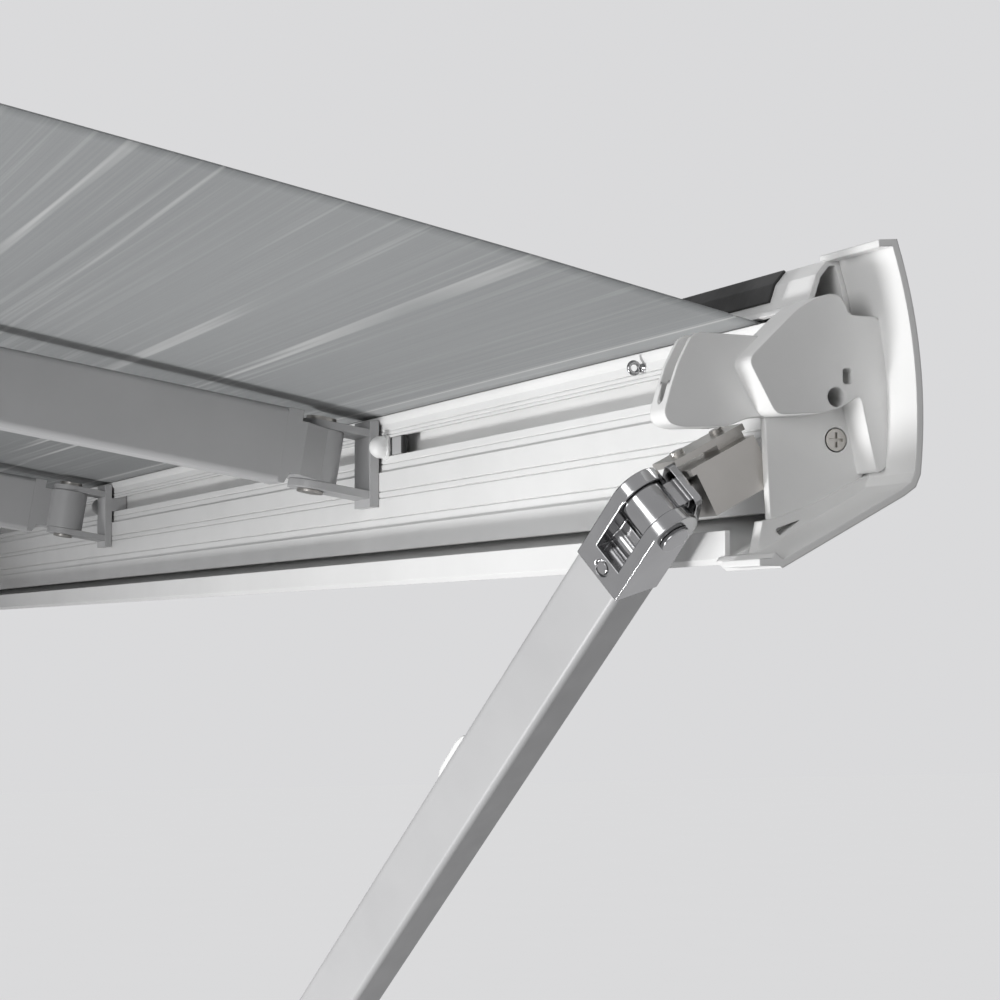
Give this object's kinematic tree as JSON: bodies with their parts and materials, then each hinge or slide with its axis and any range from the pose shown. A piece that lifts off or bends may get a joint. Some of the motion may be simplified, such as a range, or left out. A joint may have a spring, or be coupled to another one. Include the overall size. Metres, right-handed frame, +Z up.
{
  "type": "roll out awning",
  "caption": "Roll out awning: striped fabric wound on a cranked roller in a wall case, folding arms, a lead rail with moulded end caps, and swing-out telescopic legs.",
  "frame": {"origin": "middle of the four wall holes, on the case's wall face", "axes": "+X along the case towards the end with the crank, +Y away from the wall, +Z up"},
  "size_m": [2.04, 1.2112, 0.8873],
  "materials": {
    "awning_fabric": "matt woven, striped",
    "white_profile": "satin powder coat",
    "white_moulding": "fine grain",
    "grey_plastic": "fine grain",
    "black_plastic": "matt",
    "black_rubber": "matt",
    "grey_tube": "satin powder coat",
    "grey_casting": "satin",
    "chrome_casting": "polished",
    "steel": "brushed",
    "aluminium": "anodised"
  },
  "bodies": {
    "case": {"case_back": "white_profile", "case_hood": "white_profile", "hood_seal": "black_rubber", "end_plate_right": "white_moulding", "end_plate_left": "white_moulding", "gearbox_housing": "grey_plastic", "roller_bushes": "black_plastic", "shoulder_bracket_right": "grey_casting", "shoulder_bracket_left": "grey_casting", "shoulder_pins": "steel", "case_screws": "steel", "fabric": "awning_fabric"},
    "crank": {"crank_eye": "chrome_casting"},
    "roller": {"roller_tube": "aluminium", "roller_plugs": "black_plastic", "fabric_wraps": "awning_fabric"},
    "upper_arm_right": {"upper_arm_tube_right": "grey_tube", "shoulder_knuckle_right": "grey_casting", "elbow_fork_right": "grey_casting", "elbow_pin_right": "steel", "arm_spring_right": "steel"},
    "forearm_right": {"forearm_tube_right": "grey_tube", "elbow_tongue_right": "grey_casting", "wrist_tongue_right": "grey_casting"},
    "upper_arm_left": {"upper_arm_tube_left": "grey_tube", "shoulder_knuckle_left": "grey_casting", "elbow_fork_left": "grey_casting", "elbow_pin_left": "steel", "arm_spring_left": "steel"},
    "forearm_left": {"forearm_tube_left": "grey_tube", "elbow_tongue_left": "grey_casting", "wrist_tongue_left": "grey_casting"},
    "rail": {"lead_rail": "white_profile", "end_cap_right": "white_moulding", "end_cap_left": "white_moulding", "wrist_bracket_right": "grey_casting", "wrist_bracket_left": "grey_casting", "wrist_pins": "steel", "wrist_bumpers": "white_moulding", "hem_keder": "black_rubber", "rail_seal": "black_rubber", "leg_mount_right": "steel", "leg_mount_left": "steel", "cap_screws": "steel"},
    "swivel_right": {"leg_swivel_right": "chrome_casting", "leg_pin_right": "chrome_casting"},
    "leg_right": {"leg_knuckle_right": "chrome_casting", "leg_tube_right": "grey_tube", "leg_clip_right": "white_moulding"},
    "inner_right": {"leg_inner_right": "aluminium", "leg_foot_right": "black_rubber"},
    "lever_right": {"leg_lever_right": "black_plastic"},
    "swivel_left": {"leg_swivel_left": "chrome_casting", "leg_pin_left": "chrome_casting"},
    "leg_left": {"leg_knuckle_left": "chrome_casting", "leg_tube_left": "grey_tube", "leg_clip_left": "white_moulding"},
    "inner_left": {"leg_inner_left": "aluminium", "leg_foot_left": "black_rubber"},
    "lever_left": {"leg_lever_left": "black_plastic"}
  },
  "joints": [
    {"name": "shoulder_right", "type": "hinge", "parent": "case", "child": "upper_arm_right", "pos_m": [0.38, 0.06, -0.045], "axis": [0, -0.1616, -0.9869], "range_deg": [0, 84.7], "deforming": ["fabric"]},
    {"name": "elbow_right", "type": "hinge", "parent": "upper_arm_right", "child": "forearm_right", "pos_m": [0.41327, 0.59683, -0.13291], "axis": [0, 0.1616, 0.9869], "range_deg": [0, 169.4]},
    {"name": "wrist_right", "type": "hinge", "parent": "forearm_right", "child": "rail", "pos_m": [0.38, 1.13367, -0.22082], "axis": [0, -0.1616, -0.9869], "range_deg": [0, 84.7]},
    {"name": "shoulder_left", "type": "hinge", "parent": "case", "child": "upper_arm_left", "pos_m": [-0.38, 0.06, -0.045], "axis": [0, 0.1616, 0.9869], "range_deg": [0, 84.7]},
    {"name": "elbow_left", "type": "hinge", "parent": "upper_arm_left", "child": "forearm_left", "pos_m": [-0.41327, 0.59683, -0.13291], "axis": [0, -0.1616, -0.9869], "range_deg": [0, 169.4]},
    {"name": "roller_turn", "type": "hinge", "parent": "case", "child": "roller", "pos_m": [0, 0.05, 0.021], "axis": [1, 0, 0], "range_deg": [0, 2233.9]},
    {"name": "crank_turn", "type": "hinge", "parent": "case", "child": "crank", "pos_m": [0.974, 0.03, 0], "axis": [0, 0, 1], "range_deg": [0, 6699.6]},
    {"name": "leg_swivel_right", "type": "hinge", "parent": "rail", "child": "swivel_right", "pos_m": [0.958, 1.11067, -0.28382], "axis": [0, -0.8829, -0.4695], "range_deg": [-32, 58]},
    {"name": "leg_fold_right", "type": "hinge", "parent": "swivel_right", "child": "leg_right", "pos_m": [0.958, 1.11067, -0.28382], "axis": [-0.5299, -0.3981, 0.7488], "range_deg": [-22, 28]},
    {"name": "leg_slide_right", "type": "slide", "parent": "leg_right", "child": "inner_right", "axis": [-0.7863, -0.1001, -0.6097], "range_m": [0, 0.62]},
    {"name": "leg_lever_right", "type": "hinge", "parent": "leg_right", "child": "lever_right", "pos_m": [0.36755, 1.01884, -0.75051], "axis": [-0.5299, -0.3981, 0.7488], "range_deg": [0, 80]},
    {"name": "leg_swivel_left", "type": "hinge", "parent": "rail", "child": "swivel_left", "pos_m": [-0.958, 1.11067, -0.28382], "axis": [0, 0.8829, 0.4695], "range_deg": [-32, 58]},
    {"name": "leg_fold_left", "type": "hinge", "parent": "swivel_left", "child": "leg_left", "pos_m": [-0.958, 1.11067, -0.28382], "axis": [-0.5299, 0.3981, -0.7488], "range_deg": [-22, 28]},
    {"name": "leg_slide_left", "type": "slide", "parent": "leg_left", "child": "inner_left", "axis": [0.7863, -0.1001, -0.6097], "range_m": [0, 0.62]},
    {"name": "leg_lever_left", "type": "hinge", "parent": "leg_left", "child": "lever_left", "pos_m": [-0.36755, 1.01884, -0.75051], "axis": [-0.5299, 0.3981, -0.7488], "range_deg": [0, 80]}
  ],
  "couplings": [
    {"joint": "elbow_right", "follows": "shoulder_right", "ratio": 2},
    {"joint": "wrist_right", "follows": "shoulder_right", "ratio": 1},
    {"joint": "shoulder_left", "follows": "shoulder_right", "ratio": 1},
    {"joint": "elbow_left", "follows": "shoulder_right", "ratio": 2},
    {"joint": "roller_turn", "follows": "shoulder_right", "ratio": 26.362},
    {"joint": "crank_turn", "follows": "shoulder_right", "ratio": 79.086}
  ]
}
